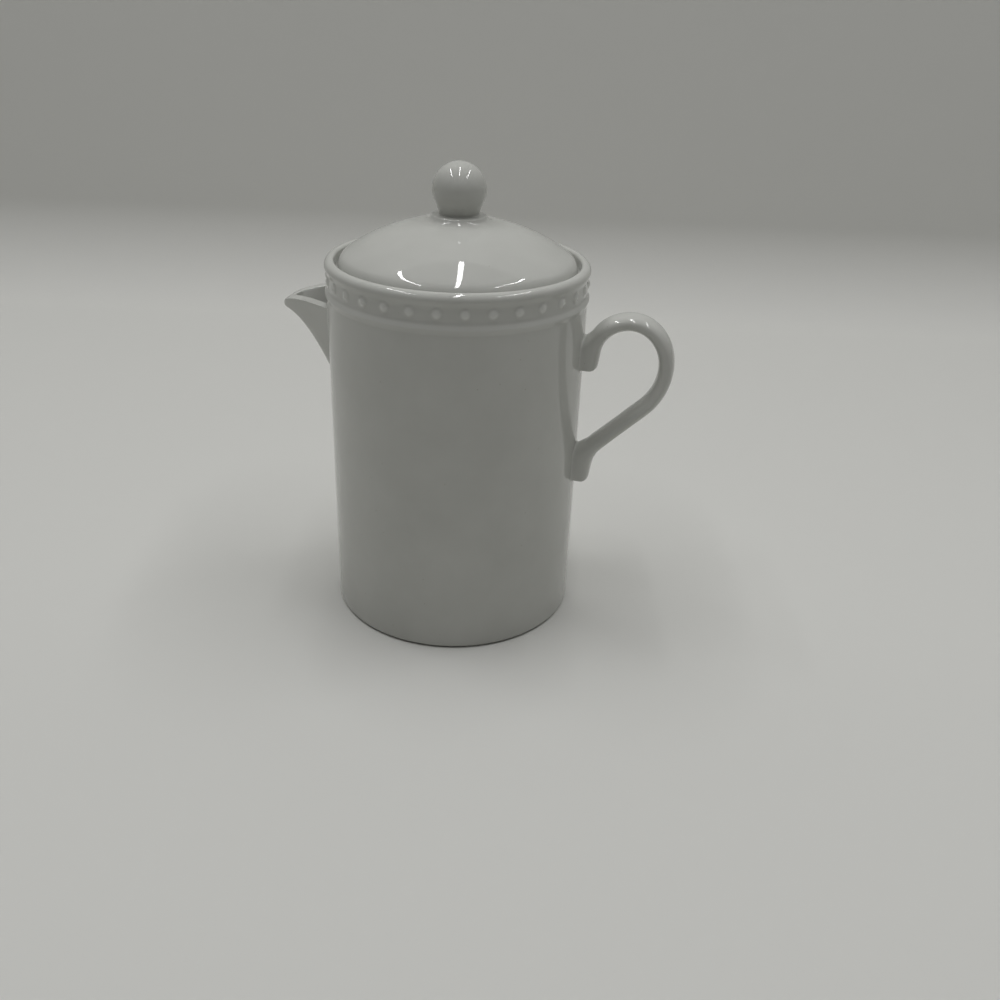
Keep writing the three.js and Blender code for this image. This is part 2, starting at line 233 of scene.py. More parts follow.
# %% Rows for the band, and one slice of the pot
PEARLS = 32
SLICE = 2 * math.pi / PEARLS
SLICE_STEPS = 24
BAND_CUTS = 12
ON_LINE = 0.01


def on_band(start, end):
    """True for the long straight edge of the band."""
    beside = [abs((point.x - AXIS_X) / MM - BAND) < ON_LINE for point in (start, end)]
    return all(beside) and (start - end).length > MM


only(pot)
bpy.ops.object.mode_set(mode="EDIT")
select_edges(pot, on_band)
bpy.ops.mesh.subdivide(number_cuts=BAND_CUTS)
bpy.ops.object.mode_set(mode="OBJECT")
turn_outline(pot, SLICE_STEPS, SLICE)

# %% Pull out one pearl and copy the slice round
PEARL_HEIGHT = RIM - 5.3
PEARL_PROUD = 0.62
PEARL_SPREAD = 1.95

outwards = Matrix.Rotation(-SLICE / 2, 3, "Z") @ Vector((1, 0, 0))
pearl_foot = Vector((AXIS_X, 0, PEARL_HEIGHT * MM)) + outwards * BAND * MM

only(pot)
bpy.ops.object.mode_set(mode="EDIT")
mesh = bmesh.from_edit_mesh(pot.data)
middle = min(mesh.verts, key=lambda point: (point.co - pearl_foot).length)
select_at(pot, [middle.co.copy()])
bpy.ops.transform.translate(
    value=outwards * PEARL_PROUD * MM,
    use_proportional_edit=True,
    proportional_edit_falloff="SMOOTH",
    proportional_size=PEARL_SPREAD * MM,
)
bpy.ops.mesh.select_all(action="SELECT")
bpy.ops.mesh.spin(
    steps=PEARLS - 1, angle=2 * math.pi - SLICE, dupli=True, center=(AXIS_X, 0, 0), axis=(0, 0, 1)
)
bpy.ops.object.mode_set(mode="OBJECT")
close_seams(pot)
print("pot with", PEARLS, "pearls:", len(pot.data.polygons), "faces")

# %% [markdown]
# ## The pour hole
# Behind the beak the wall has one hole, a rounded triangle that stands on its point. A cylinder with
# three sides is that shape already: it is laid across the wall, its long edges are bevelled, and a
# Boolean modifier cuts it out. A shorter one cuts the same hole through the root of the beak later on.

# %% A helper that cuts one mesh with another
def cut_away(piece, tool):
    """Cut a piece by a Boolean modifier with another mesh, which is then deleted."""
    only(piece)
    bpy.ops.object.modifier_add(type="BOOLEAN")
    modifier = piece.modifiers[-1]
    modifier.operation = "DIFFERENCE"
    modifier.solver = "EXACT"
    modifier.object = tool
    bpy.ops.object.modifier_apply(modifier=modifier.name)
    bpy.data.objects.remove(tool)


# %% Cut the hole
HOLE_WIDTH = 20
HOLE_HEIGHT = 16
HOLE_TOP = RIM - 15.4
HOLE_BEVEL = 4.3
HOLE_IN = 7
HOLE_OUT = 7
LAID_DOWN = Matrix(((0, 0, 1), (-1, 0, 0), (0, -1, 0)))


def make_pour_hole(past_wall):
    """A three-sided cylinder through the wall and past it, on its point, with rounded long edges."""
    depth = (HOLE_IN + past_wall) * MM
    middle = spot(-WALL + (HOLE_IN - past_wall) / 2, HOLE_TOP - HOLE_HEIGHT / 3)
    bpy.ops.object.select_all(action="DESELECT")
    bpy.ops.mesh.primitive_cylinder_add(
        vertices=3,
        radius=HOLE_WIDTH / math.sqrt(3) * MM,
        depth=depth,
        location=middle,
        rotation=LAID_DOWN.to_euler(),
    )
    hole = bpy.context.object
    hole.name = "pour_hole"
    bpy.ops.object.transform_apply(location=True, rotation=True)
    bpy.ops.object.mode_set(mode="EDIT")
    select_edges(hole, lambda start, end: abs(start.x - end.x) > depth / 2)
    bpy.ops.mesh.bevel(offset=HOLE_BEVEL * MM, segments=8, affect="EDGES")
    bpy.ops.mesh.select_all(action="SELECT")
    squeeze = HOLE_HEIGHT / (HOLE_WIDTH * math.sqrt(3) / 2)
    bpy.ops.transform.resize(value=(1, 1, squeeze), center_override=middle)
    bpy.ops.object.mode_set(mode="OBJECT")
    return hole


cut_away(pot, make_pour_hole(HOLE_OUT))
print("pot with its pour hole:", len(pot.data.polygons), "faces")

# %% [markdown]
# ## Running a joint out with slip
# The beak and the handle are lofted: a circle is set to the first section, and is then extruded from
# section to section. A plain union with the pot would leave a sharp crease where they meet. So each is
# joined with a pad that lies just under the pot's surface, both are melted together by a voxel remesh,
# and smoothing runs the crease out into a fillet. What lies deeper in the wall is cut away again. A thin
# skin of the pad stays on, hidden under the pot's surface.

# %% Helpers for lofting and melting
def loft(name, rings):
    """Extrude a circle through rings of points. Every ring has the same number of points."""
    bpy.ops.object.select_all(action="DESELECT")
    bpy.ops.mesh.primitive_circle_add(vertices=len(rings[0]), radius=MM, fill_type="NGON")
    piece = bpy.context.object
    piece.name = name
    bpy.ops.object.mode_set(mode="EDIT")
    bpy.ops.mesh.select_all(action="SELECT")
    mesh = bmesh.from_edit_mesh(piece.data)
    for point, place in zip(mesh.verts, rings[0]):
        point.co = place
    bmesh.update_edit_mesh(piece.data)
    for here, there in zip(rings, rings[1:]):
        bpy.ops.mesh.extrude_region_move()
        mesh = bmesh.from_edit_mesh(piece.data)
        for point in [point for point in mesh.verts if point.select]:
            nearest = min(range(len(here)), key=lambda k: (point.co - here[k]).length_squared)
            point.co = there[nearest]
        bmesh.update_edit_mesh(piece.data)
    bpy.ops.object.mode_set(mode="OBJECT")
    close_seams(piece)
    return piece


ROUND_SIDES = 360
PAD_SUNK = 0.004


def wall_pad(side, depth, low, high):
    """A slice of a cylinder just under the pot's surface, on the beak's side (-1) or the handle's (1)."""
    bpy.ops.object.select_all(action="DESELECT")
    bpy.ops.mesh.primitive_cylinder_add(
        vertices=ROUND_SIDES,
        radius=(WALL - PAD_SUNK) * MM,
        depth=(high - low) * MM,
        location=spot(0, (low + high) / 2),
    )
    pad = bpy.context.object
    bpy.ops.object.transform_apply(location=True)
    bpy.ops.object.mode_set(mode="EDIT")
    bpy.ops.mesh.select_all(action="SELECT")
    bpy.ops.mesh.bisect(
        plane_co=spot(side * (WALL - depth), 0), plane_no=(side, 0, 0), use_fill=True, clear_inner=True
    )
    bpy.ops.object.mode_set(mode="OBJECT")
    return pad


CORE_SUNK = 0.06
SMOOTHING = 0.5


def melt_to_wall(piece, pad, voxel, passes):
    """Join a piece with its pad, remesh and smooth them as one, and cut away what is deeper in the wall."""
    only(piece)
    pad.select_set(True)
    bpy.ops.object.join()
    bpy.ops.object.modifier_add(type="REMESH")
    piece.modifiers[-1].mode = "VOXEL"
    piece.modifiers[-1].voxel_size = voxel * MM
    bpy.ops.object.modifier_apply(modifier=piece.modifiers[-1].name)
    bpy.ops.object.modifier_add(type="SMOOTH")
    piece.modifiers[-1].factor = SMOOTHING
    piece.modifiers[-1].iterations = passes
    bpy.ops.object.modifier_apply(modifier=piece.modifiers[-1].name)
    bpy.ops.object.select_all(action="DESELECT")
    bpy.ops.mesh.primitive_cylinder_add(
        vertices=ROUND_SIDES,
        radius=(WALL - CORE_SUNK) * MM,
        depth=2 * RIM * MM,
        location=spot(0, RIM / 2),
    )
    core = bpy.context.object
    bpy.ops.object.transform_apply(location=True)
    cut_away(piece, core)


# %% [markdown]
# ## The beak
# The beak is a folded sheet: its keel leaves the wall low down and leans out to a blunt nose, and two
# flat sides run from the keel back into the wall. They open out evenly from the toe to the tip, so every
# level section is the same wedge with a rounder nose higher up, and these sections are what is lofted. A
# smaller loft, which reaches further back into the pot, hollows it out, and a block with a curved
# underside trims the edge, which dips to the tip and rolls over it.

# %% Sections of the beak
BEAK_REACH = 15.9
BEAK_WALL = 3.4
NOSE_THICKER = 1.15
BEAK_EDGE = RIM - 13.5
BEAK_TIP = RIM - 16.3
BEAK_TOE = RIM - 42.4
BEAK_NOSE = 1.9
NOSE_ROUND = 0.6
TOE_LEAN = math.radians(19.5)
TIP_LEAN = math.radians(70)
BEAK_SIDE = math.radians(30.6)
TIP_ROUND = 4.9
KEEL_BLUNT = 0.05
KEEL_STEPS = 28
NOSE_STEPS = 5
ROUND_STEPS = 16
BEAK_BACK = 32.0
CLEAR = 5


def bezier(a, b, c, steps):
    """Points on a quadratic curve."""
    shares = [i / steps for i in range(steps + 1)]
    return [(1 - t) ** 2 * a + 2 * t * (1 - t) * b + t ** 2 * c for t in shares]


def keel_points():
    """The keel as (distance from the axis, height): up from the toe, then round the nose."""
    toe = Vector((WALL, BEAK_TOE))
    corner = Vector((WALL + BEAK_REACH, BEAK_TIP - BEAK_NOSE))
    chin = corner - NOSE_ROUND * Vector((math.sin(TIP_LEAN), math.cos(TIP_LEAN)))
    toe_slope, tip_slope = math.tan(TOE_LEAN), math.tan(TIP_LEAN)
    rise = (tip_slope * (chin.y - toe.y) - (chin.x - toe.x)) / (tip_slope - toe_slope)
    knee = toe + Vector((rise * toe_slope, rise))
    nose_top = corner + Vector((0, NOSE_ROUND))
    under = bezier(toe, knee, chin, KEEL_STEPS)
    nose = bezier(chin, corner, nose_top, NOSE_STEPS)[1:]
    return under + nose + [Vector((corner.x, BEAK_EDGE + CLEAR))]


def beak_section(keel, inwards):
    """One level ring, set inwards from the outside: round the keel and back along both sides."""
    slant = math.sin(BEAK_SIDE)
    toe_side = WALL * slant
    tip_side = (WALL + BEAK_REACH) * slant + TIP_ROUND * (1 - slant)
    rise = (keel.y - BEAK_TOE) / (BEAK_TIP - BEAK_TOE)
    fold = (toe_side + (tip_side - toe_side) * rise - inwards) / slant
    reach = min(keel.x - inwards * NOSE_THICKER, fold - KEEL_BLUNT)
    nose = (fold - reach) * slant / (1 - slant)
    turns = [(math.pi / 2 - BEAK_SIDE) * i / ROUND_STEPS for i in range(-ROUND_STEPS, ROUND_STEPS + 1)]
    ring = [(reach - nose + nose * math.cos(turn), nose * math.sin(turn)) for turn in turns]
    back = BEAK_BACK - inwards
    half_wide = (fold - back) * math.tan(BEAK_SIDE)
    ring += [(back, half_wide), (back, -half_wide)]
    return [spot(-out, keel.y) - Vector((0, across * MM, 0)) for out, across in ring]


# %% Loft the beak, hollow it and trim its edge
ROLL_START = 0.86
TIP_ROLL = 1.7
EDGE_STEPS = 50


def beak_trimmer():
    """A block over the beak, whose underside is the edge's curve."""
    def dip(share):
        roll = max(share - ROLL_START, 0) / (1 - ROLL_START)
        return BEAK_EDGE - (BEAK_EDGE - BEAK_TIP) * share ** 3 - TIP_ROLL * roll ** 2

    far = WALL + BEAK_REACH + CLEAR
    shares = [i / EDGE_STEPS for i in range(EDGE_STEPS + 1)]
    curve = [(-WALL - BEAK_REACH * share, dip(share), 0) for share in shares]
    corners = [(-BEAK_BACK, RIM, 0), (-BEAK_BACK, BEAK_EDGE, 0), *curve]
    corners += [(-far, BEAK_TIP, 0), (-far, RIM, 0)]
    block = draw_outline("beak_trimmer", corners)
    bpy.ops.object.mode_set(mode="EDIT")
    bpy.ops.mesh.select_all(action="SELECT")
    bpy.ops.mesh.edge_face_add()
    bpy.ops.transform.translate(value=(0, -WALL * MM, 0))
    bpy.ops.mesh.extrude_region_move(TRANSFORM_OT_translate={"value": (0, 2 * WALL * MM, 0)})
    bpy.ops.object.mode_set(mode="OBJECT")
    close_seams(block)
    return block


keel = keel_points()
beak = loft("pot_spout", [beak_section(point, 0) for point in keel])
cut_away(beak, loft("channel", [beak_section(point, BEAK_WALL) for point in keel]))
cut_away(beak, beak_trimmer())
print("beak before melting:", len(beak.data.polygons), "faces")

# %% Melt the beak to the wall
PAD_TOP = RIDGE - 1.6
BEAK_PAD_LOW = 58
BEAK_PAD_DEPTH = 9
ROOT_OUT = 0.3

beak_pad = wall_pad(-1, BEAK_PAD_DEPTH, BEAK_PAD_LOW, PAD_TOP)
melt_to_wall(beak, beak_pad, voxel=0.25, passes=7)
cut_away(beak, make_pour_hole(ROOT_OUT))
print("beak:", len(beak.data.polygons), "faces")

# %% [markdown]
# ## The handle
# A potter pulls a strap of clay, bends it into a loop and presses both ends against the wall. The strap
# follows one line in the plane of the beak: up from the upper foot, over the loop, down the outside in
# a wide sweep, straight back to the pot and round into the lower foot. Its section is between an oval
# and a rounded bar. Towards the feet it grows wider, and the clay fills up to the wall behind it.

# %% The strap's line
STRAP_THICK = 4.5
FOOT_STANDOFF = 2.6
FOOT_LINE = WALL + FOOT_STANDOFF
HANDLE_TOP = RIM - 11.4
LOOP_RADIUS = 10.65
LOOP_TOP = HANDLE_TOP - STRAP_THICK / 2
LOOP_DROP = 12.2
SWEEP_RADIUS = 18.1
SWEEP = math.radians(45.6)
BEND_RADIUS = 12.5
UPPER_FOOT = 4
LOWER_FOOT = 3.6
LOOP_STEPS = 24
SWEEP_STEPS = 20
BEND_STEPS = 12


def arc(middle, wide, high, start, end, steps):
    """Points on an ellipse, from one angle to another."""
    angles = [start + (end - start) * i / steps for i in range(1, steps + 1)]
    return [middle + Vector((wide * math.cos(a), high * math.sin(a))) for a in angles]


def strap_line():
    """The strap's centre line as (distance from the axis, height)."""
    foot = Vector((FOOT_LINE, LOOP_TOP - LOOP_RADIUS))
    loop = foot + Vector((LOOP_RADIUS, 0))
    shoulder = Vector((loop.x, LOOP_TOP - LOOP_DROP))
    sweep = shoulder + Vector((LOOP_RADIUS - SWEEP_RADIUS, 0))
    run_top = sweep + SWEEP_RADIUS * Vector((math.cos(SWEEP), -math.sin(SWEEP)))
    run_end_x = FOOT_LINE + BEND_RADIUS * (1 - math.cos(SWEEP))
    run = (run_top.x - run_end_x) / math.sin(SWEEP)
    bend_height = run_top.y - run * math.cos(SWEEP) - BEND_RADIUS * math.sin(SWEEP)
    bend = Vector((FOOT_LINE + BEND_RADIUS, bend_height))
    half, quarter = math.pi, math.pi / 2
    return [
        foot - Vector((0, UPPER_FOOT)),
        foot,
        *arc(loop, LOOP_RADIUS, LOOP_RADIUS, half, quarter, LOOP_STEPS),
        *arc(shoulder, LOOP_RADIUS, LOOP_DROP, quarter, 0, LOOP_STEPS),
        *arc(sweep, SWEEP_RADIUS, SWEEP_RADIUS, 0, -SWEEP, SWEEP_STEPS),
        *arc(bend, BEND_RADIUS, BEND_RADIUS, half - SWEEP, half, BEND_STEPS),
        Vector((FOOT_LINE, bend_height - LOWER_FOOT)),
    ]


line = strap_line()
line_lengths = [(b - a).length for a, b in zip(line, line[1:])]
STRAP_LENGTH = sum(line_lengths)
print(f"strap: {STRAP_LENGTH:.1f} mm long")


def along_strap(distance):
    """The point and the direction at a distance along the line."""
    for start, end, length in zip(line, line[1:], line_lengths):
        if distance <= length + 1e-6:
            return start.lerp(end, distance / length), (end - start).normalized()
        distance -= length
    return line[-1], (line[-1] - line[-2]).normalized()


# %% Sections of the strap
STRAP_WIDE = 9.0
STRAP_SIDES = 28
SQUARENESS = 0.85
FOOT_THICK = 5.0
FOOT_WIDE = 9.4
FOOT_FLARE = 22
FOOT_TAPER = 0.5
TAPER_LENGTH = 6
FOOT_END_ROUND = 1.0
FOOT_NOSE_ROUND = 1.2
ROOT_FILL = 2.4
ROOT_SPREAD = 0.4
UPPER_ROOT = 5
LOWER_ROOT = 7
ROOT_FLARE = 5


def fade(distance, start, end):
    """Smoothly from 1 at start to 0 at end."""
    share = min(max((distance - start) / (end - start), 0), 1)
    return 1 - share * share * (3 - 2 * share)


def bulge(value):
    """Push a sine or cosine outwards, so that a circle turns a little square."""
    return math.copysign(abs(value) ** SQUARENESS, value)


def round_off(radius, to_end):
    """How far a rounded end draws in, at a distance from it."""
    return radius - math.sqrt(radius ** 2 - max(radius - to_end, 0) ** 2)


def strap_section(distance):
    """One ring across the strap, which towards an end turns into a foot."""
    point, ahead = along_strap(distance)
    to_end = min(distance, STRAP_LENGTH - distance)
    wall_side = -1 if distance < STRAP_LENGTH / 2 else 1
    foot = fade(to_end, 0, FOOT_FLARE)
    root_length = UPPER_ROOT if wall_side < 0 else LOWER_ROOT
    root = fade(to_end, root_length, root_length + ROOT_FLARE)
    inset = round_off(FOOT_END_ROUND, to_end)
    half_thick = (STRAP_THICK + (FOOT_THICK - STRAP_THICK) * foot) / 2
    half_wide = (STRAP_WIDE + (FOOT_WIDE - STRAP_WIDE) * foot) / 2 - inset
    front = half_thick - FOOT_TAPER * fade(to_end, 0, TAPER_LENGTH) - round_off(FOOT_NOSE_ROUND, to_end)
    back = half_thick + ROOT_FILL * root - inset
    ring = []
    for k in range(STRAP_SIDES):
        turn = 2 * math.pi * k / STRAP_SIDES
        side = bulge(math.cos(turn))
        offset = side * (back if side * wall_side > 0 else front)
        spread = ROOT_SPREAD * root * (max(offset * wall_side, 0) / FOOT_STANDOFF) ** 2
        across = (half_wide + spread) * bulge(math.sin(turn))
        place = spot(point.x + offset * ahead.y, point.y - offset * ahead.x)
        ring.append(place + Vector((0, across * MM, 0)))
    return ring


# %% Loft the handle and melt it to the wall
STRAP_STEPS = 110
END_STEPS = [0, 0.25, 0.5, 1]
END_RUN = 2
HANDLE_PAD_LOW = 40
HANDLE_PAD_DEPTH = 4

middle_run = STRAP_LENGTH - 2 * END_RUN
stations = END_STEPS + [END_RUN + middle_run * i / STRAP_STEPS for i in range(STRAP_STEPS + 1)]
stations += [STRAP_LENGTH - step for step in reversed(END_STEPS)]
handle = loft("pot_handle", [strap_section(distance) for distance in stations])
handle_pad = wall_pad(1, HANDLE_PAD_DEPTH, HANDLE_PAD_LOW, PAD_TOP)
melt_to_wall(handle, handle_pad, voxel=0.3, passes=8)
print("handle:", len(handle.data.polygons), "faces")

# %% [markdown]
# ## The lid
# The lid is turned like the pot. Its dome is part of a ball, so both of its faces are drawn as arcs
# about one centre. Underneath, a deep flange keeps the lid in place while the pot is tilted, and on top
# a low collar, hollowed at its foot, carries the knob.

# %% The lid's outline
LID_EDGE = 33.7
LID_UNDER = SEAT + 0.3
LID_EDGE_TOP = LID_UNDER + 2.8
LID_THICK = 3.0
DOME_RISE = 10.6
COLLAR_FOOT = 9.0
COLLAR_EDGE = 7.6
COLLAR_TOP = LID_EDGE_TOP + DOME_RISE + 1.5
COLLAR_LOW = COLLAR_TOP - 1.65
COLLAR_SLOPE = 0.9
COLLAR_FALL = 0.1
COLLAR_FLAT = 5
COLLAR_HOLLOW = 2
FLANGE_OUT = 30.6
FLANGE_IN = 27.8
FLANGE_END = LID_UNDER - 9
FLANGE_ROOT = 1
EDGE_ROLL = 2.6
HOLLOW_STEPS = 16
DOME_STEPS = 28
LID_SIDES = 240

dome_down = (LID_EDGE ** 2 - COLLAR_FOOT ** 2 - DOME_RISE ** 2) / (2 * DOME_RISE)
DOME_CENTRE = LID_EDGE_TOP - dome_down
DOME_RADIUS = math.hypot(LID_EDGE, dome_down)
print(f"dome: part of a ball of {DOME_RADIUS:.1f} mm radius")


def dome_height(radius, inwards):
    """How high the dome is at a radius, under its outside by inwards."""
    return DOME_CENTRE + math.sqrt((DOME_RADIUS - inwards) ** 2 - radius * radius)


def dome(first, last, inwards, steps):
    """Corners along the dome from one radius to another, under its outside by inwards."""
    radii = [first + (last - first) * i / steps for i in range(steps + 1)]
    return [(radius, dome_height(radius, inwards), 0) for radius in radii]


lid = draw_outline("lid_dome", [
    *dome(0, FLANGE_IN - FLANGE_ROOT, LID_THICK, HOLLOW_STEPS),
    (FLANGE_IN, dome_height(FLANGE_IN, LID_THICK) - FLANGE_ROOT, 0.8),
    (FLANGE_IN, FLANGE_END, 0.9),
    (FLANGE_OUT, FLANGE_END, 0.9),
    (FLANGE_OUT, LID_UNDER, 0.5),
    (LID_EDGE, LID_UNDER, 0.5),
    (LID_EDGE, LID_EDGE_TOP, 4.2),
    *dome(LID_EDGE - EDGE_ROLL, COLLAR_FOOT + COLLAR_HOLLOW, 0, DOME_STEPS),
    (COLLAR_EDGE + COLLAR_SLOPE, COLLAR_LOW, 2.4),
    (COLLAR_EDGE, COLLAR_TOP - COLLAR_FALL, 0.6),
    (COLLAR_FLAT, COLLAR_TOP, 0),
    (0, COLLAR_TOP, 0),
])
turn_outline(lid, LID_SIDES)
close_seams(lid)
print("lid:", len(lid.data.polygons), "faces")

# %% [markdown]
# ## The knob
# The knob is a ball on a short neck, and its foot runs out over the collar. It is turned as well: a ball
# primitive would need its underside cut open and a neck bridged on, which is more work for the same form.

# %% The knob's outline
BALL = 7.5
BALL_START = -math.radians(31)
BALL_STEPS = 32
NECK = 5.5
NECK_FILLET = 3.0
NECK_FLARE = 0.3
KNOB_SIDES = 160
knob_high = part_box("lid_knob")[1]
BALL_HEIGHT = knob_high.z / MM - BALL


def ball_corner(i):
    """One corner of the ball's outline, the first of which is rounded into the neck."""
    angle = BALL_START + (math.pi / 2 - BALL_START) * i / BALL_STEPS
    fillet = NECK_FILLET if i == 0 else 0
    return (max(BALL * math.cos(angle), 0), BALL_HEIGHT + BALL * math.sin(angle), fillet)


knob = draw_outline("lid_knob_ball", [
    (0, COLLAR_TOP - NECK_FLARE, 0),
    (NECK + NECK_FLARE, COLLAR_TOP - NECK_FLARE, 0),
    (NECK, COLLAR_TOP + NECK_FLARE, 0.5),
    *[ball_corner(i) for i in range(BALL_STEPS + 1)],
])
turn_outline(knob, KNOB_SIDES)
close_seams(knob)
print("knob:", len(knob.data.polygons), "faces")

# %% [markdown]
# ## Glaze
# Porcelain is a white body under a clear gloss glaze. It is never one flat tone: the glaze is a little
# thicker in some places than in others, which shifts its white, a few iron specks burn through, and its
# skin waves very slightly, so reflections are not quite straight. The pearls and the ridge get a lighter
# white, a painted highlight where they stand out of the band's shade into the light from above. All of it
# comes from Object coordinates, so it stays on the piece in every pose.

# %% The glaze's nodes
def add_node(tree, kind, **settings):
    """A new node, with values for its inputs or its options."""
    node = tree.nodes.new(kind)
    for name, value in settings.items():
        if name in node.inputs:
            node.inputs[name].default_value = value
        else:
            setattr(node, name, value)
    return node


def ramp(tree, source, stops):
    """A colour ramp with (place, colour) stops."""
    node = tree.nodes.new("ShaderNodeValToRGB")
    while len(node.color_ramp.elements) < len(stops):
        node.color_ramp.elements.new(0.5)
    for element, (place, colour) in zip(node.color_ramp.elements, stops):
        element.position = place
        element.color = (*colour, 1)
    tree.links.new(source, node.inputs["Fac"])
    return node


def span(tree, source, start, end):
    """From 0 to 1 while a value goes from start to end."""
    node = add_node(tree, "ShaderNodeMapRange")
    node.inputs["From Min"].default_value = start
    node.inputs["From Max"].default_value = end
    tree.links.new(source, node.inputs["Value"])
    return node.outputs["Result"]


def times(tree, first, second):
    """The product of two values."""
    node = add_node(tree, "ShaderNodeMath", operation="MULTIPLY")
    tree.links.new(first, node.inputs[0])
    tree.links.new(second, node.inputs[1])
    return node.outputs["Value"]


# Where the painted highlight lies: out of the band, over the ridge and the pearls, below the lip.
PROUD_START, PROUD_FULL = BAND + 0.08, BAND + 0.36
RIDGE_START, PEARL_START = RIDGE - RIDGE_FOOT, PEARL_HEIGHT - 1.3
LIP_START, LIP_END = RIM - 3.7, RIM - 4.2


def highlight_share(tree, place):
    """Where the painted highlight goes: 1 on the pearls, less on the ridge, which both stand out from the
    band, and 0 elsewhere.
    """
    parts = add_node(tree, "ShaderNodeSeparateXYZ")
    tree.links.new(place, parts.inputs["Vector"])
    level = add_node(tree, "ShaderNodeVectorMath", operation="MULTIPLY_ADD")
    level.inputs[1].default_value = (1, 1, 0)
    level.inputs[2].default_value = (-AXIS_X, 0, 0)
    tree.links.new(place, level.inputs[0])
    radius = add_node(tree, "ShaderNodeVectorMath", operation="LENGTH")
    tree.links.new(level.outputs["Vector"], radius.inputs[0])
    proud = span(tree, radius.outputs["Value"], PROUD_START * MM, PROUD_FULL * MM)
    over_ridge = span(tree, parts.outputs["Z"], RIDGE_START * MM, PEARL_START * MM)
    under_lip = span(tree, parts.outputs["Z"], LIP_START * MM, LIP_END * MM)
    return times(tree, proud, times(tree, over_ridge, under_lip))


# The first two whites are the glaze's own; the third is a painted highlight for the pearls and the ridge,
# which catch the light from above.
THIN, THICK, PAINTED_HIGHLIGHT = (0.53, 0.535, 0.505), (0.57, 0.575, 0.545), (0.68, 0.685, 0.655)
SPECK, CLEAN = (0.55, 0.5, 0.42), (1, 1, 1)
SPECK_SHARE = 0.5
SMOOTHEST, ROUGHEST = 0.02, 0.045


def make_glaze(name, thin, thick, highlight):
    """A gloss glaze whose white runs from thin to thick, with a painted highlight, a lighter white, over
    the pearls and the ridge.
    """
    material = bpy.data.materials.new(name)
    material.use_nodes = True
    tree = material.node_tree
    shader = tree.nodes["Principled BSDF"]
    shader.inputs["IOR"].default_value = 1.52
    place = tree.nodes.new("ShaderNodeTexCoord").outputs["Object"]

    clouds = add_node(tree, "ShaderNodeTexNoise", Scale=55.0, Detail=3.0, Roughness=0.55)
    tree.links.new(place, clouds.inputs["Vector"])
    cloudy = ramp(tree, clouds.outputs["Fac"], [(0.3, thin), (0.7, thick)])
    # Painted highlight: the pearls and the ridge are mixed towards the lighter white.
    tone = add_node(tree, "ShaderNodeMix", data_type="RGBA")
    tree.links.new(highlight_share(tree, place), tone.inputs["Factor"])
    tree.links.new(cloudy.outputs["Color"], tone.inputs["A"])
    tone.inputs["B"].default_value = (*highlight, 1)

    grains = add_node(tree, "ShaderNodeTexVoronoi", Scale=230.0, Randomness=1.0)
    tree.links.new(place, grains.inputs["Vector"])
    speck = ramp(tree, grains.outputs["Distance"], [(0.02, SPECK), (0.05, CLEAN)])
    specked = add_node(tree, "ShaderNodeMix", data_type="RGBA", blend_type="MULTIPLY")
    specked.inputs["Factor"].default_value = SPECK_SHARE
    tree.links.new(tone.outputs["Result"], specked.inputs["A"])
    tree.links.new(speck.outputs["Color"], specked.inputs["B"])
    tree.links.new(specked.outputs["Result"], shader.inputs["Base Color"])

    smears = add_node(tree, "ShaderNodeTexNoise", Scale=90.0, Detail=4.0, Roughness=0.6)
    tree.links.new(place, smears.inputs["Vector"])
    gloss = add_node(tree, "ShaderNodeMapRange")
    gloss.inputs["To Min"].default_value = SMOOTHEST
    gloss.inputs["To Max"].default_value = ROUGHEST
    tree.links.new(smears.outputs["Fac"], gloss.inputs["Value"])
    tree.links.new(gloss.outputs["Result"], shader.inputs["Roughness"])

    skin = add_node(tree, "ShaderNodeTexNoise", Scale=160.0, Detail=2.0, Roughness=0.5)
    tree.links.new(place, skin.inputs["Vector"])
    wave = add_node(tree, "ShaderNodeBump", Strength=0.12, Distance=0.00006)
    tree.links.new(skin.outputs["Fac"], wave.inputs["Height"])
    tree.links.new(wave.outputs["Normal"], shader.inputs["Normal"])
    return material


pot_glaze = make_glaze("pot_glaze", THIN, THICK, PAINTED_HIGHLIGHT)
lid_glaze = make_glaze("lid_glaze", THIN, THICK, PAINTED_HIGHLIGHT)

# %% [markdown]
# ## The bare foot ring
# A pot stands in the kiln on its foot ring, so the ring is wiped clean of glaze before firing, or it
# would stick to the shelf. The bare porcelain is matt, a little creamy, and has a fine grain.

# %% The bare clay's nodes
CLAY_DARK, CLAY_LIGHT = (0.55, 0.53, 0.48), (0.66, 0.64, 0.59)


def make_bare_clay():
    """Matt unglazed porcelain with a fine grain."""
    material = bpy.data.materials.new("bare_clay")
    material.use_nodes = True
    tree = material.node_tree
    shader = tree.nodes["Principled BSDF"]
    place = tree.nodes.new("ShaderNodeTexCoord").outputs["Object"]
    grain = add_node(tree, "ShaderNodeTexNoise", Scale=1500.0, Detail=4.0, Roughness=0.7)
    tree.links.new(place, grain.inputs["Vector"])
    tone = ramp(tree, grain.outputs["Fac"], [(0.35, CLAY_DARK), (0.65, CLAY_LIGHT)])
    tree.links.new(tone.outputs["Color"], shader.inputs["Base Color"])
    shader.inputs["Roughness"].default_value = 0.75
    tooth = add_node(tree, "ShaderNodeBump", Strength=0.4, Distance=0.00005)
    tree.links.new(grain.outputs["Fac"], tooth.inputs["Height"])
    tree.links.new(tooth.outputs["Normal"], shader.inputs["Normal"])
    return material


bare_clay = make_bare_clay()

# %% [markdown]
# ## Finishing the pieces
# Each piece gets smooth shading with its true edges kept, its glaze and the body it rides on, and the CAD
# node it stands for is hidden. The faces of the foot ring, found by their height, get the bare clay.

# %% Shade, glaze and seat every piece
SHARP = math.radians(38)


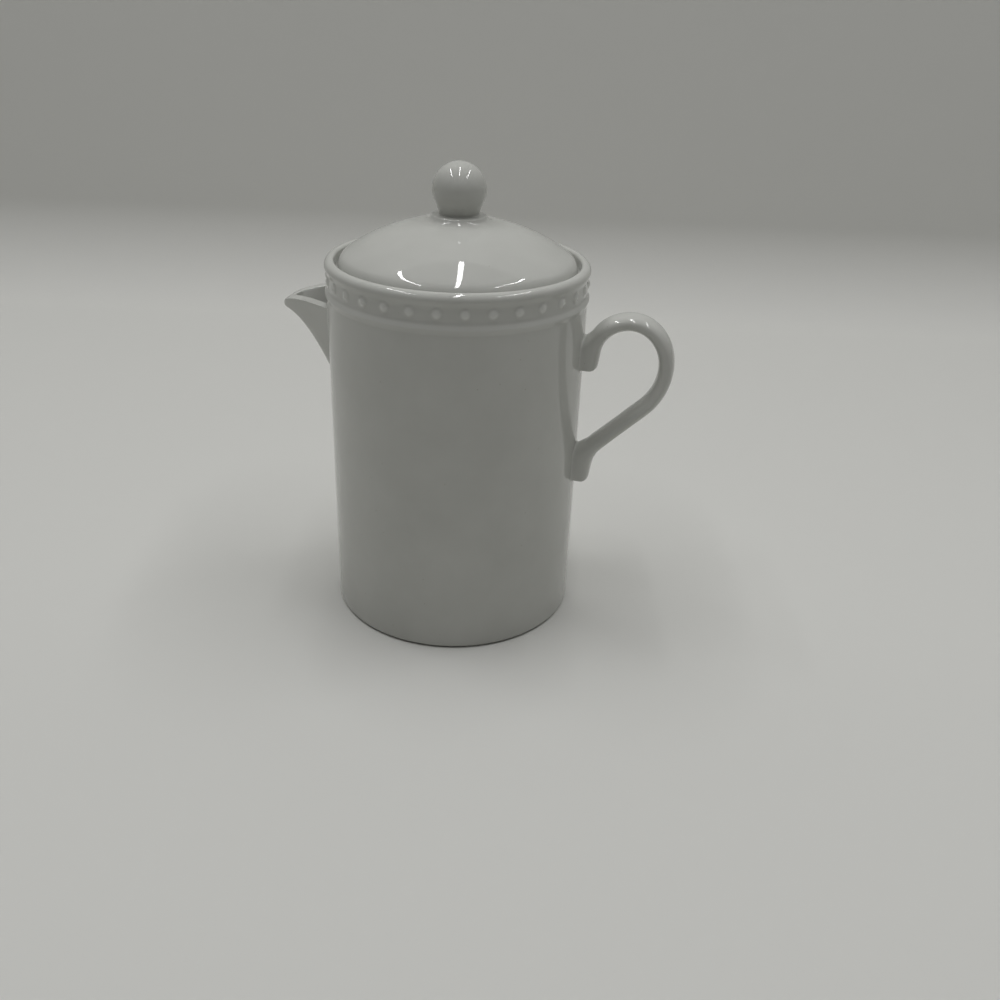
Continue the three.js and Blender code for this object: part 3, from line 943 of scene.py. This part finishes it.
def finish_piece(piece, glaze, body, node):
    """Shade and glaze a piece, seat it on its body, and hide the CAD node it stands for."""
    only(piece)
    bpy.ops.object.shade_smooth_by_angle(angle=SHARP)
    piece.data.materials.clear()
    piece.data.materials.append(glaze)
    for face in piece.data.polygons:
        face.material_index = 0
    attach(piece, body)
    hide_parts(node)
    print(piece.name, "stands for", node, "and rides on", body)


finish_piece(pot, pot_glaze, "pot", "body")
finish_piece(beak, pot_glaze, "pot", "spout")
finish_piece(handle, pot_glaze, "pot", "handle")
finish_piece(lid, lid_glaze, "lid", "lid")
finish_piece(knob, lid_glaze, "lid", "lid_knob")

# %% Bare clay on the foot ring
RING_TOP = 0.05 * MM
DOWNWARDS = -0.9

pot.data.materials.append(bare_clay)
low_faces = [face for face in pot.data.polygons if face.center.z < RING_TOP]
ring_faces = [face for face in low_faces if face.normal.z < DOWNWARDS]
for face in ring_faces:
    face.material_index = 1
print("bare faces on the foot ring:", len(ring_faces))

# %% [markdown]
# ## Floor, light and camera
# The pot stands on a pale sheet that sweeps up behind it. Three long strips over it, in line with the
# view, give most of the light and draw the streaks in the glaze, and a weak panel lifts the far floor. The
# front of the pot gets little but the sheet's own light. The camera is close and looks down, with a
# slight roll.

# %% The camera
VIEW_TURN = math.radians(11)
VIEW_DOWN = math.radians(27.67)
VIEW_ROLL = math.radians(2.21)
EYE = Vector((AXIS_X, 0, 0)) + Vector((67.42, -272.09, 177.87)) * MM
LENS = 36
SENSOR = 36
NEAREST = 0.01

bpy.ops.object.camera_add(location=EYE)
camera = bpy.context.object
camera.name = "camera"
facing = Matrix.Rotation(VIEW_TURN, 3, "Z") @ Matrix.Rotation(math.pi / 2 - VIEW_DOWN, 3, "X")
camera.rotation_euler = (facing @ Matrix.Rotation(VIEW_ROLL, 3, "Z")).to_euler()
camera.data.lens = LENS
camera.data.sensor_width = SENSOR
camera.data.clip_start = NEAREST
bpy.context.scene.camera = camera

# %% The sheet
SHEET_HALF = 1.5
WALL_BEHIND = 0.335
WALL_HIGH = 1.0
SWEEP_UP = 0.05
CORNER = 0.01
PAPER = (0.68, 0.68, 0.655, 1)

bpy.ops.object.select_all(action="DESELECT")
bpy.ops.mesh.primitive_plane_add(size=2 * SHEET_HALF, location=(0, WALL_BEHIND - SHEET_HALF, 0))
sheet = bpy.context.object
sheet.name = "sheet"
bpy.ops.object.transform_apply(location=True)


def at_far_end(point):
    """True where the floor ends and the wall begins."""
    return point.y > WALL_BEHIND - CORNER and point.z < CORNER


bpy.ops.object.mode_set(mode="EDIT")
select_edges(sheet, lambda start, end: at_far_end(start) and at_far_end(end))
bpy.ops.mesh.extrude_region_move(TRANSFORM_OT_translate={"value": (0, 0, WALL_HIGH)})
select_edges(sheet, lambda start, end: at_far_end(start) and at_far_end(end))
bpy.ops.mesh.bevel(offset=SWEEP_UP, segments=24, affect="EDGES")
bpy.ops.mesh.select_all(action="SELECT")
bpy.ops.mesh.normals_make_consistent(inside=True)
bpy.ops.object.mode_set(mode="OBJECT")
sheet.rotation_euler.z = VIEW_TURN
bpy.ops.object.transform_apply(rotation=True)
bpy.ops.object.shade_smooth()
sheet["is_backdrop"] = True

paper = bpy.data.materials.new("sheet_paper")
paper.use_nodes = True
paper_shader = paper.node_tree.nodes["Principled BSDF"]
paper_shader.inputs["Base Color"].default_value = PAPER
paper_shader.inputs["Roughness"].default_value = 0.9
paper_shader.inputs["Specular IOR Level"].default_value = 0.2
sheet.data.materials.append(paper)

# %% The lamps
def add_lamp(name, place, wide, long, power):
    """An area lamp that looks straight down, with its long side in line with the view."""
    bpy.ops.object.light_add(type="AREA", location=place, rotation=(0, 0, VIEW_TURN))
    lamp = bpy.context.object
    lamp.name = name
    lamp.data.shape = "RECTANGLE"
    lamp.data.size = wide
    lamp.data.size_y = long
    lamp.data.energy = power
    return lamp


STRIPS = {"strip_left": -0.57, "strip_middle": 0.0, "strip_right": 0.63}
STRIP_BACK = -0.05
STRIP_HEIGHT = 1.2
STRIP_LENGTH = 1.0
STRIP_WIDE = 0.042
STRIP_POWER = 3.1
CEILING_BACK = 0.15
CEILING_HEIGHT = 1.4
CEILING_WIDE = 1.5
CEILING_LONG = 0.4
CEILING_POWER = 3.4

turned = Matrix.Rotation(VIEW_TURN, 3, "Z")
for name, across in STRIPS.items():
    place = turned @ Vector((across, STRIP_BACK, STRIP_HEIGHT))
    add_lamp(name, place, STRIP_WIDE, STRIP_LENGTH, STRIP_POWER)
over = turned @ Vector((0, CEILING_BACK, CEILING_HEIGHT))
ceiling = add_lamp("ceiling", over, CEILING_WIDE, CEILING_LONG, CEILING_POWER)
ceiling.visible_glossy = False

# %% The room round it
ROOM_LIGHT = (0.06, 0.06, 0.058, 1)
ROOM_SEEN = (0.2, 0.2, 0.193, 1)

world = bpy.data.worlds.new("room")
world.use_nodes = True
bpy.context.scene.world = world
room = world.node_tree
for node in list(room.nodes):
    room.nodes.remove(node)
path = room.nodes.new("ShaderNodeLightPath")
seen = add_node(room, "ShaderNodeMath", operation="MAXIMUM")
seen_too = add_node(room, "ShaderNodeMath", operation="MAXIMUM")
room.links.new(path.outputs["Is Camera Ray"], seen.inputs[0])
room.links.new(path.outputs["Is Glossy Ray"], seen.inputs[1])
room.links.new(seen.outputs[0], seen_too.inputs[0])
room.links.new(path.outputs["Is Transmission Ray"], seen_too.inputs[1])
shade = add_node(room, "ShaderNodeMix", data_type="RGBA")
shade.inputs["A"].default_value = ROOM_LIGHT
shade.inputs["B"].default_value = ROOM_SEEN
room.links.new(seen_too.outputs[0], shade.inputs["Factor"])
glow = room.nodes.new("ShaderNodeBackground")
room.links.new(shade.outputs["Result"], glow.inputs["Color"])
room_out = room.nodes.new("ShaderNodeOutputWorld")
room.links.new(glow.outputs["Background"], room_out.inputs["Surface"])
bpy.context.scene.view_settings.view_transform = "Standard"

# %% [markdown]
# ## The size, and the end
# The sizes of both boxes, the CAD model's and the visual model's, are printed in millimetres.

# %% Print both boxes
bpy.context.view_layer.update()
visual_low, visual_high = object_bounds()
boxes = {"cad": [list(cad_low), list(cad_high)], "visual": [list(visual_low), list(visual_high)]}
for name, (low, high) in boxes.items():
    print(name, "box in mm:", [round((b - a) / MM, 2) for a, b in zip(low, high)])
